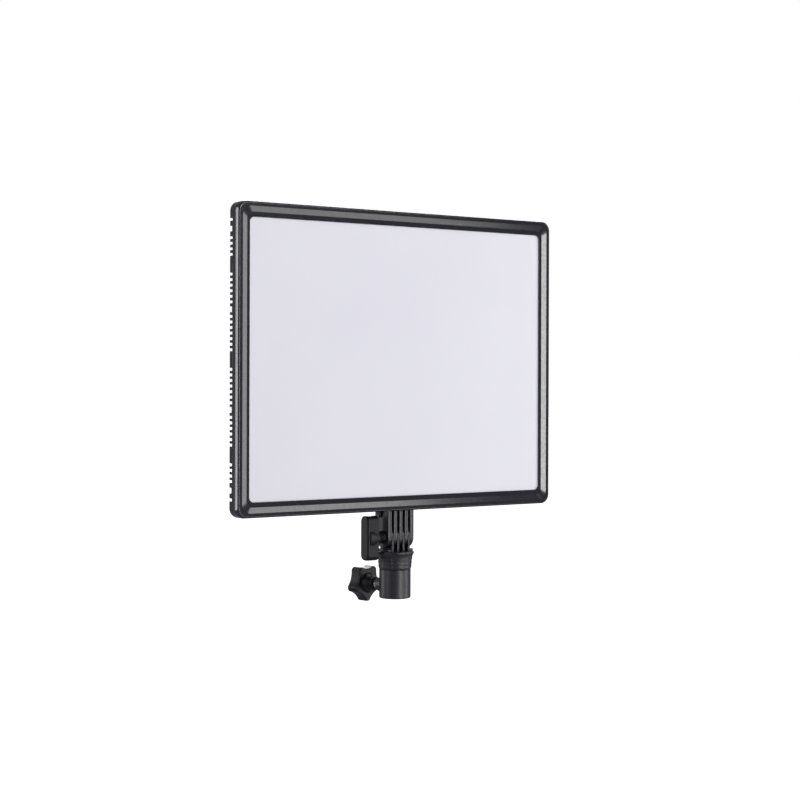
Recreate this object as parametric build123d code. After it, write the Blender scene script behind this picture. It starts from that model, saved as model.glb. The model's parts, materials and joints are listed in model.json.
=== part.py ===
from build123d import *
import math
import os

# LED panel light on a tilting stand mount. Millimetres, +Z up, the light faces -Y.
# The origin is the centre of the spigot socket's mouth, at the bottom of the barrel.

# Panel
PANEL_W = 361.5
PANEL_H = 292.0
PANEL_T = 18.3
PANEL_BOTTOM = 86.0
FRONT_Y = -15.0
CORNER_R = 9.0
WALL = 2.0

# Bezel, measured inward from the outer edge and back from the front plane
RING_W = 4.8
SLOPE_W = 5.3
SLOPE_DEPTH = 1.6
LIP_SIDE = 2.9
LIP_TOP = 4.6
WINDOW_DEPTH = 3.2
BEZEL_DEPTH = 10.5
BAND_DEPTH = 5.0
BAND_TAPER = 7.0

# Side vents, as heights from the panel's middle
VENT_W = 2.6
VENT_PITCH = 5.12
VENT_DEPTH = 11.5
VENT_REACH = 8.0
VENT_GROUPS = [(9.0, 7), (53.1, 6), (96.8, 4), (129.0, 1)]
WIDE_VENTS = [46.3, 120.5]
WIDE_VENT_W = 5.2
WIDE_VENT_DEPTH = 12.4

# Light stack, as depths behind the front plane
DIFFUSER_T = 2.0
GUIDE_T = 3.0
REFLECTOR_T = 0.3
SPREADER_T = 1.2
STACK_HALF_H = 134.5
GUIDE_HALF_W = 171.0
CHIP_T = 1.1
STRIP_T = 1.0
CHIP_COUNT = 40
CHIP_PITCH = 6.6

# Stand mount
AXIS_Z = 59.8
BORE_R = 8.1
BORE_DEPTH = 34.0
SCREW_RECESS = 3.0
TENON_TOP = 39.0
BARREL_R = 15.5
BARREL_TOP = 28.3
COLLAR_TOP = 46.0
COLLAR_LIP_R = 18.6
COLLAR_FLARE = [(15.7, 28.45), (16.1, 33.8), (16.4, 37.7), (17.1, 41.6), (18.3, 44.2)]
SHOULDER_TOP = 48.5
PAD_TURN = 24.0
PAD_RISE = 0.4
LOCK_Z = 11.3
LOCK_ANGLE = 105.0
BOSS_END = 20.4
HUB_END = 25.0
STAR_INNER = 35.8
STAR_OUTER = 47.8
STAR_R = 18.4
BOLT_R = 3.0
FINGER_R = 11.0
OUTER_FINGER_T = 4.2
INNER_FINGER_T = 3.4
COMB_HALF = 14.85
INNER_PITCH = 6.3
TOOTH_T = 2.35

# Rear control housing
HOUSING_HALF_W = 75.0
HOUSING_BOTTOM = 109.0
HOUSING_TOP = 259.0
HOUSING_DEPTH = 22.0
CONTROL_Z = 229.0
KNOB_X = 50.0
BUTTON_X = [-16.0, 0.0, 16.0]
BUTTON_Z = 207.5
BUTTON_TRAVEL = 0.8
ROCKER_X = 50.0
ROCKER_Z = 166.0
ROCKER_TILT = 7.0
JACK_X = -50.0
PLATE_BOTTOM = 120.0
PLATE_TOP = 192.0
PLATE_HALF_W = 20.5
PLATE_SCREW_X = 13.5

# Derived places
BACK_Y = FRONT_Y + PANEL_T
MID_Z = PANEL_BOTTOM + PANEL_H / 2
SEAM_Y = FRONT_Y + BEZEL_DEPTH
DIFFUSER_Y = FRONT_Y + WINDOW_DEPTH
GUIDE_Y = DIFFUSER_Y + DIFFUSER_T
REFLECTOR_Y = GUIDE_Y + GUIDE_T
SPREADER_Y = REFLECTOR_Y + REFLECTOR_T
SHELL_INNER_Y = BACK_Y - WALL
STRIP_X = GUIDE_HALF_W + 0.2 + CHIP_T
REAR_Y = BACK_Y + HOUSING_DEPTH
BOARD_Y = REAR_Y - 10.8
BOARD_T = 1.6
LOCK_DIR = (math.cos(math.radians(LOCK_ANGLE)), math.sin(math.radians(LOCK_ANGLE)), 0.0)
SHELL_SCREWS = [(x, MID_Z + z) for x in (-171, -60, 60, 171) for z in (-139.5, 139.5)]
BRACKET_SCREWS = [(x, z) for x in (-13, 13) for z in (93, 102)]
PLATE_SCREWS = [(x, z) for x in (-PLATE_SCREW_X, PLATE_SCREW_X) for z in (PLATE_BOTTOM + 14, PLATE_TOP - 7)]
HOUSING_SCREWS = [(x, z) for x in (-67, 67) for z in (HOUSING_BOTTOM + 8, HOUSING_TOP - 8)]


def block(x0, x1, y0, y1, z0, z1):
    """A box between two corners."""
    middle = Pos((x0 + x1) / 2, (y0 + y1) / 2, (z0 + z1) / 2)
    return middle * Box(x1 - x0, y1 - y0, z1 - z0)


def rod(radius, start, end):
    """A cylinder from one point to another."""
    span = Vector(*end) - Vector(*start)
    plane = Plane(origin=start, z_dir=span.normalized())
    return plane * Cylinder(radius, span.length, align=(Align.CENTER, Align.CENTER, Align.MIN))


def rod_y(radius, x, z, y0, y1):
    """A cylinder along Y."""
    return rod(radius, (x, y0, z), (x, y1, z))


def rod_x(radius, x0, x1):
    """A cylinder on the tilt axis."""
    return rod(radius, (x0, 0, AXIS_Z), (x1, 0, AXIS_Z))


def panel_plane(y):
    """The sketch plane across the panel at depth y, looking back."""
    return Plane(origin=(0, y, MID_Z), x_dir=(1, 0, 0), z_dir=(0, 1, 0))


def rounded_slab(width, height, radius, y0, y1):
    """A slab with rounded corners, centred on the panel."""
    outline = panel_plane(y0) * RectangleRounded(width, height, radius)
    return extrude(outline, y1 - y0, dir=(0, 1, 0))


def lock_point(distance, z=LOCK_Z):
    """A point on the spigot lock's screw axis, at a distance from the barrel's axis."""
    return (LOCK_DIR[0] * distance, LOCK_DIR[1] * distance, z)


def edges_at_y(shape, y):
    """The edges of a shape that lie in the plane at y."""
    return [e for e in shape.edges() if abs(e.bounding_box().min.Y - y) < 1e-3
            and abs(e.bounding_box().max.Y - y) < 1e-3]


def edges_at_z(shape, z):
    """The edges of a shape that lie in the plane at z."""
    return [e for e in shape.edges() if abs(e.bounding_box().min.Z - z) < 1e-3
            and abs(e.bounding_box().max.Z - z) < 1e-3]


def mirrored(shape):
    """A shape and its mirror image in the plane X = 0."""
    return [shape, mirror(shape, Plane.YZ)]


def save(name, *solids):
    """Write one named node, as one solid or a group."""
    export_step(solids[0] if len(solids) == 1 else Compound(list(solids)), f"parts/{name}.step")


# Panel: bezel and rear shell

def front_bezel():
    """The frame round the light: tapered front band, inner slope, lip and screw bosses."""
    rear = rounded_slab(PANEL_W, PANEL_H, CORNER_R, FRONT_Y + BAND_DEPTH, SEAM_Y - 0.1)
    band_face = panel_plane(FRONT_Y + BAND_DEPTH) * RectangleRounded(PANEL_W, PANEL_H, CORNER_R)
    band = extrude(band_face, BAND_DEPTH, dir=(0, -1, 0), taper=BAND_TAPER)
    body = rear + band
    body = fillet(edges_at_y(body, FRONT_Y), 1.6)
    slope_w = PANEL_W - 2 * RING_W
    slope_h = PANEL_H - 2 * RING_W
    wide = panel_plane(FRONT_Y) * RectangleRounded(slope_w, slope_h, 8.5)
    narrow = panel_plane(FRONT_Y + SLOPE_DEPTH) * RectangleRounded(
        slope_w - 2 * SLOPE_W, slope_h - 2 * SLOPE_W, 6.0)
    window_w = slope_w - 2 * SLOPE_W - 2 * LIP_SIDE
    window_h = slope_h - 2 * SLOPE_W - 2 * LIP_TOP
    body -= loft([wide, narrow], ruled=True)
    body -= rounded_slab(window_w, window_h, 5.0, FRONT_Y, DIFFUSER_Y)
    body -= rounded_slab(PANEL_W - 2 * WALL, PANEL_H - 2 * WALL, 7.0, DIFFUSER_Y, SEAM_Y)
    for x, z in SHELL_SCREWS:
        body += rod_y(3.4, x, z, DIFFUSER_Y, SEAM_Y - 0.1)
        body -= rod_y(1.5, x, z, DIFFUSER_Y + 1.5, SEAM_Y)
    return body


def vent_slot(height, width, depth):
    """One slot that cuts the side wall and wraps on to the back, on the +X side."""
    z = MID_Z + height
    return block(PANEL_W / 2 - VENT_REACH, PANEL_W / 2 + 1, FRONT_Y + depth, BACK_Y + 1,
                 z - width / 2, z + width / 2)


def vent_slots():
    """All slots of both side walls, the same above and below the middle."""
    slots = []
    for side in (-1, 1):
        for first, count in VENT_GROUPS:
            for k in range(count):
                slots.append(vent_slot(side * (first + k * VENT_PITCH), VENT_W, VENT_DEPTH))
        for height in WIDE_VENTS:
            slots.append(vent_slot(side * height, WIDE_VENT_W, WIDE_VENT_DEPTH))
    return [copy for slot in slots for copy in mirrored(slot)]


def rear_shell():
    """The shallow tray behind the bezel, with comb-like vents down both sides."""
    body = rounded_slab(PANEL_W, PANEL_H, CORNER_R, SEAM_Y + 0.1, BACK_Y)
    body = fillet(edges_at_y(body, BACK_Y), 2.6)
    body -= rounded_slab(PANEL_W - 2 * WALL, PANEL_H - 2 * WALL, 7.0, SEAM_Y, SHELL_INNER_Y)
    for x, z in SHELL_SCREWS:
        body += rod_y(3.4, x, z, SEAM_Y + 0.1, SHELL_INNER_Y)
        body -= rod_y(1.7, x, z, SEAM_Y, BACK_Y)
        body -= rod_y(3.0, x, z, BACK_Y - 1.8, BACK_Y)
    for x, z in BRACKET_SCREWS:
        body += rod_y(4.0, x, z, SEAM_Y + 1.0, SHELL_INNER_Y)
        body -= rod_y(2.0, x, z, SEAM_Y + 1.5, BACK_Y)
    for x, z in HOUSING_SCREWS:
        body += rod_y(3.6, x, z, SEAM_Y + 1.0, SHELL_INNER_Y)
        body -= rod_y(1.5, x, z, SEAM_Y + 1.5, BACK_Y)
    body -= block(-40, 40, SHELL_INNER_Y - 1, BACK_Y + 1, 150, 162)
    body -= vent_slots()
    return body


# Panel: light stack

def stack_plate(half_w, y0, thickness):
    """One plate of the light stack."""
    return block(-half_w, half_w, y0, y0 + thickness, MID_Z - STACK_HALF_H, MID_Z + STACK_HALF_H)


def heat_spreader():
    """The aluminium pan behind the light guide, with a flange behind each LED strip."""
    flange_x = STRIP_X + STRIP_T
    pan = stack_plate(flange_x + 1.2, SPREADER_Y, SPREADER_T)
    flange = block(flange_x, flange_x + 1.2, GUIDE_Y, SPREADER_Y,
                   MID_Z - STACK_HALF_H, MID_Z + STACK_HALF_H)
    return pan + mirrored(flange)


def led_strip(side):
    """The narrow circuit board that carries one side's LED chips."""
    x0, x1 = sorted((side * STRIP_X, side * (STRIP_X + STRIP_T)))
    return block(x0, x1, GUIDE_Y, SPREADER_Y - 0.05, MID_Z - 133, MID_Z + 133)


def led_chips(side):
    """The row of LED chips that faces the light guide's edge."""
    x0, x1 = sorted((side * (STRIP_X - CHIP_T), side * STRIP_X))
    first = MID_Z - CHIP_PITCH * (CHIP_COUNT - 1) / 2
    heights = [first + k * CHIP_PITCH for k in range(CHIP_COUNT)]
    return [block(x0, x1, GUIDE_Y + 0.2, REFLECTOR_Y - 0.2, z - 1.75, z + 1.75) for z in heights]


def led_leads():
    """The flat leads that run from the two strips to the cable opening."""
    y0 = SPREADER_Y + SPREADER_T
    return mirrored(block(36, 168, y0, y0 + 0.4, 152, 160))


# Screws

def pan_screw(x, z, head_y, head_r, head_t, shank_r, length):
    """A screw along Y whose head faces the rear, with a cross recess."""
    screw = rod_y(head_r, x, z, head_y - head_t, head_y)
    screw += rod_y(shank_r, x, z, head_y - head_t - length, head_y - head_t)
    screw -= block(x - 0.4, x + 0.4, head_y - 0.8, head_y, z - 1.4, z + 1.4)
    screw -= block(x - 1.4, x + 1.4, head_y - 0.8, head_y, z - 0.4, z + 0.4)
    return screw


# Tilt bracket and stand mount

def finger(x, thickness, radius):
    """A panel-side finger: straight front and back, with a round foot about the tilt axis."""
    x0, x1 = x - thickness / 2, x + thickness / 2
    return block(x0, x1, -radius, radius, AXIS_Z, PANEL_BOTTOM) + rod_x(radius, x0, x1)


def tilt_bracket():
    """Five fingers on a back plate that is screwed to the rear shell."""
    outer_x = COMB_HALF - OUTER_FINGER_T / 2
    plate = block(-20, 20, BACK_Y, BACK_Y + 6.5, PANEL_BOTTOM, 107)
    plate += block(-17, 17, BACK_Y, BACK_Y + 6.5, PANEL_BOTTOM - 7, PANEL_BOTTOM)
    plate = fillet(plate.edges().filter_by(Axis.Y), 1.2)
    body = plate + block(-COMB_HALF, COMB_HALF, 4.0, FINGER_R, AXIS_Z + 14.5, PANEL_BOTTOM)
    for x in (-outer_x, outer_x):
        body += finger(x, OUTER_FINGER_T, FINGER_R)
    for x in (-INNER_PITCH, 0, INNER_PITCH):
        body += finger(x, INNER_FINGER_T, FINGER_R)
    gusset_plane = Plane(origin=(0, 0.7, 0), x_dir=(1, 0, 0), z_dir=(0, -1, 0))
    gusset_face = gusset_plane * Polygon(
        (-19.4, PANEL_BOTTOM), (-COMB_HALF, PANEL_BOTTOM), (-COMB_HALF, PANEL_BOTTOM - 7.4),
        (-19.4, PANEL_BOTTOM - 1.2), align=None)
    body += mirrored(extrude(gusset_face, 5.0, dir=(0, 1, 0)))
    body -= rod_x(BOLT_R + 0.05, -COMB_HALF - 1, COMB_HALF + 1)
    body -= tilt_bolt_head(10.2, 3.2)
    for x, z in BRACKET_SCREWS:
        body -= rod_y(2.1, x, z, BACK_Y, BACK_Y + 7)
        body -= rod_y(3.8, x, z, BACK_Y + 4.5, BACK_Y + 7)
    return body


def tilt_bolt_head(across_flats, thickness):
    """The hexagon head's volume, in the right outer finger."""
    plane = Plane(origin=(COMB_HALF, 0, AXIS_Z), z_dir=(-1, 0, 0))
    return extrude(plane * RegularPolygon(across_flats / 2, 6, major_radius=False), thickness)


def tilt_bolt():
    """The bolt that the head tilts on, from the right finger into the wing knob."""
    return tilt_bolt_head(10.0, 3.1) + rod_x(BOLT_R, -31.0, COMB_HALF - 3.1)


def collar_radius(z):
    """The collar's outer radius at a height."""
    for (r0, z0), (r1, z1) in zip(COLLAR_FLARE, COLLAR_FLARE[1:]):
        if z <= z1:
            return r0 + (r1 - r0) * (z - z0) / (z1 - z0)


def grip_pad(angle):
    """One raised pad of the collar, with three grooves across it."""
    inner = COLLAR_FLARE[0][0] - 2
    face = [(radius + PAD_RISE, z) for radius, z in COLLAR_FLARE[1:]]
    foot = BARREL_TOP + 1.6
    outline = [(inner, foot), (collar_radius(foot) + PAD_RISE, foot)] + face
    outline.append((inner, COLLAR_FLARE[-1][1]))
    pad = Rot(0, 0, angle - 23) * revolve(Plane.XZ * Polygon(*outline, align=None), Axis.Z, 46)
    for z in (33.0, 36.8, 40.6):
        pad -= Pos(0, 0, z) * (Cylinder(COLLAR_LIP_R + 2, 0.8) - Cylinder(collar_radius(z) - 0.1, 0.8))
    return pad


def receiver_collar():
    """The flared collar with grip pads, four teeth, and a shoulder under each outer finger."""
    rim = [(COLLAR_LIP_R, COLLAR_TOP - 1.6), (COLLAR_LIP_R, COLLAR_TOP), (0, COLLAR_TOP)]
    outline = [(0, COLLAR_FLARE[0][1])] + COLLAR_FLARE + rim
    body = revolve(Plane.XZ * Polygon(*outline, align=None), Axis.Z, 360)
    for k in range(6):
        body += grip_pad(PAD_TURN + 60 * k)
    for x in (-1.5 * INNER_PITCH + 0.125, -INNER_PITCH / 2, INNER_PITCH / 2, 1.5 * INNER_PITCH - 0.125):
        x0, x1 = x - TOOTH_T / 2, x + TOOTH_T / 2
        body += block(x0, x1, -10.8, 10.8, COLLAR_TOP - 1, AXIS_Z) + rod_x(10.8, x0, x1)
    shoulder = block(10.4, COMB_HALF - 0.3, -10.2, 10.2, COLLAR_TOP - 1, SHOULDER_TOP)
    body += mirrored(shoulder)
    body -= rod_x(BOLT_R + 0.05, -COMB_HALF, COMB_HALF)
    body -= rod(BARREL_R - 2.2, (0, 0, BARREL_TOP), (0, 0, TENON_TOP + 0.1))
    body -= rod(2.05, (0, 0, TENON_TOP), (0, 0, COLLAR_TOP - 0.8))
    return body


def lock_turned(outline):
    """A solid turned about the spigot lock's screw axis, from (distance, radius) points."""
    plane = Plane(origin=lock_point(0), x_dir=LOCK_DIR, z_dir=(-LOCK_DIR[1], LOCK_DIR[0], 0))
    return revolve(plane * Polygon(*outline, align=None), Axis(lock_point(0), LOCK_DIR), 360)


def spigot_barrel():
    """The cylinder that takes the stand's spigot, with a tapered boss for the lock screw."""
    body = rod(BARREL_R, (0, 0, 0), (0, 0, BARREL_TOP))
    body = fillet(edges_at_z(body, 0), 1.2)
    body += rod(BARREL_R - 2.3, (0, 0, BARREL_TOP), (0, 0, TENON_TOP))
    body += lock_turned([(11, 0), (11, 8.6), (BOSS_END - 0.8, 7.0), (BOSS_END, 6.4), (BOSS_END, 0)])
    body -= rod(BORE_R, (0, 0, -1), (0, 0, BORE_DEPTH))
    body -= rod(4.0, (0, 0, BORE_DEPTH - 1), (0, 0, BORE_DEPTH + SCREW_RECESS))
    body -= rod(2.05, (0, 0, BORE_DEPTH), (0, 0, TENON_TOP + 1))
    body -= rod(4.5, (0, 0, LOCK_Z), lock_point(21))
    body -= rod(5.25, lock_point(12.9), lock_point(21))
    return body


def collar_screw():
    """The socket screw that holds the barrel to the collar, at the end of the bore."""
    seat = BORE_DEPTH + SCREW_RECESS
    head = rod(3.5, (0, 0, seat - 2.7), (0, 0, seat))
    shank = rod(2.0, (0, 0, seat), (0, 0, COLLAR_TOP - 1))
    socket = extrude(Plane(origin=(0, 0, seat - 2.7)) * RegularPolygon(1.5, 6, major_radius=False), 1.8)
    return head + shank - socket


# Knobs of the stand mount

def wing_knob():
    """The tilt lock's bar-shaped knob with a tapered hub towards the comb."""
    left, right = -36.0, -22.5
    bar = block(left, right, -7.0, 7.0, AXIS_Z - 21.7, AXIS_Z + 21.7)
    bar = fillet(bar.edges().filter_by(Axis.X), 5.0)
    bar = fillet([e for e in bar.edges() if abs(e.center().X - left) < 1e-3], 2.2)
    bar = fillet([e for e in bar.edges() if abs(e.center().X - right) < 1e-3], 1.2)
    hub_outline = [(-33.3, 0), (-33.3, 9.6), (-29.6, 9.9), (-18.5, 5.9), (-16.2, 5.9), (-16.2, 0)]
    hub_face = Pos(0, 0, AXIS_Z) * Plane.XY * Polygon(*hub_outline, align=None)
    body = bar + revolve(hub_face, Axis((0, 0, AXIS_Z), (1, 0, 0)), 360)
    body -= rod_x(4.5, -32.0, -16.0)
    return body


def wing_insert():
    """The threaded brass sleeve in the wing knob."""
    return rod_x(4.45, -32.0, -16.5) - rod_x(BOLT_R + 0.05, -33.0, -16.0)


def tilt_washer():
    """The steel washer between the wing knob and the comb."""
    return rod_x(6.4, -16.15, -14.9) - rod_x(BOLT_R + 0.15, -17, -14)


def star_outline():
    """The five-lobed outline: blunt lobes joined by shallow hollows, one lobe pointing down."""
    hollows = [Rot(0, 0, 72 * k + 36) * Pos(34.9, 0) * Circle(20.7) for k in range(5)]
    outline = Circle(STAR_R) - hollows
    return fillet(outline.vertices(), 2.5)


def star_knob():
    """The spigot lock's five-lobed knob, with a stepped hub towards the barrel."""
    plane = Plane(origin=lock_point(STAR_INNER), x_dir=(0, 0, -1), z_dir=LOCK_DIR)
    head = extrude(plane * star_outline(), STAR_OUTER - STAR_INNER)
    head = fillet([e for e in head.edges() if is_rim(e)], 1.3)
    body = head + lock_turned([(HUB_END, 0), (HUB_END, 6.2), (26.0, 7.0), (28.6, 7.0), (29.4, 7.9),
                               (33.5, 9.3), (STAR_INNER + 1, 9.8), (STAR_INNER + 1, 0)])
    body -= rod(4.05, lock_point(HUB_END - 1), lock_point(43.6))
    body -= rod(8.6, lock_point(STAR_OUTER - 1.1), lock_point(STAR_OUTER + 1))
    return body


def is_rim(edge):
    """True for an edge that lies in the star knob's inner or outer face."""
    places = [Vector(*LOCK_DIR).dot(edge.position_at(t)) for t in (0, 0.5, 1)]
    return any(all(abs(p - face) < 1e-3 for p in places) for face in (STAR_INNER, STAR_OUTER))


def lock_screw():
    """The steel screw of the spigot lock, with a waist behind the pad."""
    return rod(4.0, lock_point(12.6), lock_point(43.5)) + rod(2.4, lock_point(10.9), lock_point(12.7))


def pressure_pad():
    """The disc that bears on the spigot, flush with the bore when the lock is tight."""
    return rod(4.0, lock_point(8.15), lock_point(10.85))


def lock_insert():
    """The threaded brass sleeve in the barrel's boss."""
    return rod(5.2, lock_point(12.95), lock_point(20.2)) - rod(4.05, lock_point(12), lock_point(21))


def knob_cap():
    """The thin cover disc on the star knob's outer face."""
    return rod(8.5, lock_point(STAR_OUTER - 1.05), lock_point(STAR_OUTER - 0.2))


# Rear control housing

def housing_box(inset, y0, y1):
    """The housing's box, drawn in by an inset."""
    return block(-HOUSING_HALF_W + inset, HOUSING_HALF_W - inset, y0, y1,
                 HOUSING_BOTTOM + inset, HOUSING_TOP - inset)


def control_housing():
    """The raised cover on the back that holds the boards, controls and battery plate."""
    body = housing_box(0, BACK_Y + 0.05, REAR_Y)
    body = fillet(body.edges().filter_by(Axis.Y), 8.0)
    body = fillet(edges_at_y(body, REAR_Y), 3.0)
    body -= housing_box(WALL, BACK_Y, REAR_Y - WALL)
    for x, z in HOUSING_SCREWS:
        body += rod_y(3.8, x, z, BACK_Y + 0.05, REAR_Y - WALL)
        body -= rod_y(1.7, x, z, BACK_Y, REAR_Y)
        body -= rod_y(3.1, x, z, REAR_Y - 2.2, REAR_Y)
    for x, z in PLATE_SCREWS:
        body -= rod_y(1.25, x, z, REAR_Y - 3, REAR_Y)
    for x in (-KNOB_X, KNOB_X):
        body -= rod_y(3.7, x, CONTROL_Z, REAR_Y - 3, REAR_Y)
    body -= block(-22, 22, REAR_Y - 3, REAR_Y, CONTROL_Z - 11, CONTROL_Z + 11)
    body -= block(-24, 24, REAR_Y - 1.1, REAR_Y, CONTROL_Z - 13, CONTROL_Z + 13)
    for x in BUTTON_X:
        body -= rod_y(3.5, x, BUTTON_Z, REAR_Y - 3, REAR_Y)
    body -= block(ROCKER_X - 6.6, ROCKER_X + 6.6, REAR_Y - 3, REAR_Y, ROCKER_Z - 9.6, ROCKER_Z + 9.6)
    body -= rod_y(5.1, JACK_X, ROCKER_Z, REAR_Y - 3, REAR_Y)
    body -= block(-8, 8, REAR_Y - 3, REAR_Y, PLATE_BOTTOM + 2, PLATE_BOTTOM + 10)
    body -= block(-4.6, 4.6, REAR_Y - 3, REAR_Y, PLATE_TOP - 12, PLATE_TOP - 4)
    for k in range(9):
        z = HOUSING_BOTTOM + 45 + 7.0 * k
        body -= block(-HOUSING_HALF_W - 1, HOUSING_HALF_W + 1, BACK_Y + 5, BACK_Y + 15, z, z + 2.4)
    return body


def control_board():
    """The board behind the rear controls."""
    return block(-62, 62, BOARD_Y, BOARD_Y + BOARD_T, 198, 246)


def driver_board():
    """The power board at the bottom of the housing."""
    return block(-60, 60, BACK_Y + 4, BACK_Y + 5.6, 124, 192)


def driver_parts():
    """The coils, capacitors, chips and connector on the driver board."""
    y0 = BACK_Y + 5.6
    parts = [rod_y(4.0, x, 182, y0, y0 + 9) for x in (-50, -40, -30)]
    parts += [block(x - 6, x + 6, y0, y0 + 5.5, 164, 176) for x in (-30, -14, 2)]
    parts += [block(x - 3, x + 3, y0, y0 + 1.6, 146, 152) for x in (-48, -38, -28, -18)]
    parts.append(block(-8, 8, y0, y0 + 7, 128, 134))
    parts.append(block(10, 22, y0, y0 + 1.4, 150, 162))
    return parts


def board_standoffs():
    """The brass posts that hold the two boards."""
    posts = [rod_y(2.5, x, z, BACK_Y + 0.05, BACK_Y + 4) for x in (-56, 56) for z in (128, 188)]
    posts += [rod_y(2.5, x, z, BACK_Y + 0.05, BOARD_Y) for x in (-58, 58) for z in (202, 242)]
    return posts


def encoder(x):
    """A rotary encoder's body and threaded bushing."""
    y0 = BOARD_Y + BOARD_T
    body = block(x - 6, x + 6, y0, REAR_Y - WALL - 0.1, CONTROL_Z - 6, CONTROL_Z + 6)
    body += rod_y(3.5, x, CONTROL_Z, y0, REAR_Y + 1.2)
    return body - rod_y(3.05, x, CONTROL_Z, y0 + 2, REAR_Y + 2)


def encoder_shaft(x):
    """The shaft that a dial sits on."""
    return rod_y(3.0, x, CONTROL_Z, BOARD_Y + BOARD_T + 2.1, REAR_Y + 9)


def dial(x):
    """A ribbed dial with a shallow dish in its face."""
    y0, y1 = REAR_Y + 1.6, REAR_Y + 12.6
    body = rod_y(11.0, x, CONTROL_Z, y0, y1)
    body = fillet(edges_at_y(body, y1), 1.2)
    for k in range(36):
        angle = math.radians(10 * k)
        cx, cz = x + 11.2 * math.cos(angle), CONTROL_Z + 11.2 * math.sin(angle)
        body -= rod_y(0.5, cx, cz, y0 + 1.5, y1 - 1.5)
    body -= rod_y(8.2, x, CONTROL_Z, y1 - 0.8, y1)
    body -= rod_y(3.0, x, CONTROL_Z, y0 - 1, REAR_Y + 9)
    return body


def push_button(x):
    """A round button cap with a flange behind the wall."""
    face = REAR_Y + 1.6
    cap = rod_y(3.2, x, BUTTON_Z, REAR_Y - 4.3, face)
    cap = fillet(edges_at_y(cap, face), 0.6)
    return cap + rod_y(4.3, x, BUTTON_Z, REAR_Y - 4.3, REAR_Y - WALL - 0.2)


def button_switch(x):
    """The tact switch under a button, with room for its travel."""
    y0 = BOARD_Y + BOARD_T
    return block(x - 3, x + 3, y0, REAR_Y - 4.4 - BUTTON_TRAVEL, BUTTON_Z - 3, BUTTON_Z + 3)


def switch_body():
    """The power switch's case: a flange on the wall and a pocket for the rocker."""
    x, z = ROCKER_X, ROCKER_Z
    body = block(x - 6.5, x + 6.5, REAR_Y - 13, REAR_Y + 0.1, z - 9.5, z + 9.5)
    flange = block(x - 7.5, x + 7.5, REAR_Y, REAR_Y + 1.6, z - 10.5, z + 10.5)
    body += fillet(flange.edges().filter_by(Axis.Y), 1.2)
    return body - block(x - 5.3, x + 5.3, REAR_Y - 6, REAR_Y + 2, z - 8.4, z + 8.4)


def power_rocker():
    """The rocker, resting in its off position."""
    cap = Box(10.0, 4.0, 15.6)
    cap = fillet(cap.edges().filter_by(Axis.X), 0.8)
    return Pos(ROCKER_X, REAR_Y + 0.6, ROCKER_Z) * Rot(ROCKER_TILT, 0, 0) * cap


def dc_socket():
    """The round power socket, opening to the rear."""
    body = block(JACK_X - 5.5, JACK_X + 5.5, REAR_Y - 14, REAR_Y - WALL - 0.05,
                 ROCKER_Z - 5.5, ROCKER_Z + 5.5)
    body += rod_y(5.0, JACK_X, ROCKER_Z, REAR_Y - 5, REAR_Y + 0.4)
    return body - rod_y(3.0, JACK_X, ROCKER_Z, REAR_Y - 10, REAR_Y + 1)


def dc_pin():
    """The centre pin of the power socket."""
    return rod_y(1.0, JACK_X, ROCKER_Z, REAR_Y - 10, REAR_Y - 1)


def battery_plate():
    """The slide-on battery plate with two hooked rails and an end stop."""
    y0, y1 = REAR_Y + 0.05, REAR_Y + 2.6
    body = block(-PLATE_HALF_W, PLATE_HALF_W, y0, y1, PLATE_BOTTOM, PLATE_TOP)
    for z in (PLATE_BOTTOM + 20, PLATE_BOTTOM + 46):
        hook = block(17.2, PLATE_HALF_W, y1, y1 + 3.4, z, z + 13)
        hook += block(14.6, PLATE_HALF_W, y1 + 2.2, y1 + 3.4, z, z + 13)
        body += mirrored(hook)
    body += block(-14, 14, y1, y1 + 4.5, PLATE_BOTTOM, PLATE_BOTTOM + 4)
    body -= block(-4.5, 4.5, y0 - 1, y1 + 1, PLATE_TOP - 11.9, PLATE_TOP - 4.1)
    for x, z in PLATE_SCREWS:
        body -= rod_y(1.3, x, z, y0 - 1, y1 + 1)
        body -= rod_y(2.4, x, z, y1 - 1.4, y1 + 1)
    for x in (-6, 0, 6):
        body -= block(x - 0.6, x + 0.6, y0 - 1, y1 + 5, PLATE_BOTTOM + 3, PLATE_BOTTOM + 9)
    return body


def battery_contacts():
    """The three blades that meet the battery's terminals."""
    blades = []
    for x in (-6, 0, 6):
        foot = block(x - 0.4, x + 0.4, REAR_Y - 3, REAR_Y + 5, PLATE_BOTTOM + 4.2, PLATE_BOTTOM + 8.6)
        tip = block(x - 0.4, x + 0.4, REAR_Y + 3.2, REAR_Y + 5, PLATE_BOTTOM + 8.6, PLATE_BOTTOM + 13)
        blades.append(foot + tip)
    return blades


def battery_latch():
    """The sprung tab that stops the battery sliding off."""
    face = REAR_Y + 4.6
    tab = block(-4.2, 4.2, REAR_Y - 5, face, PLATE_TOP - 11.6, PLATE_TOP - 4.4)
    tab = chamfer([e for e in edges_at_y(tab, face) if abs(e.center().Z - PLATE_TOP + 4.4) < 1e-3], 1.8)
    return tab + block(-6.5, 6.5, REAR_Y - 5, REAR_Y - WALL - 0.2, PLATE_TOP - 13, PLATE_TOP - 3)


def write_receiver():
    """The spigot receiver and its lock."""
    save("spigot_barrel", spigot_barrel())
    save("receiver_collar", receiver_collar())
    save("collar_screw", collar_screw())
    save("lock_insert", lock_insert())
    save("pressure_pad", pressure_pad())
    save("lock_screw", lock_screw())
    save("star_knob", star_knob())
    save("knob_cap", knob_cap())


def write_tilt_lock():
    """The tilt bracket and its lock."""
    save("tilt_bracket", tilt_bracket())
    save("tilt_bolt", tilt_bolt())
    save("tilt_washer", tilt_washer())
    save("wing_knob", wing_knob())
    save("wing_insert", wing_insert())


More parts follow.
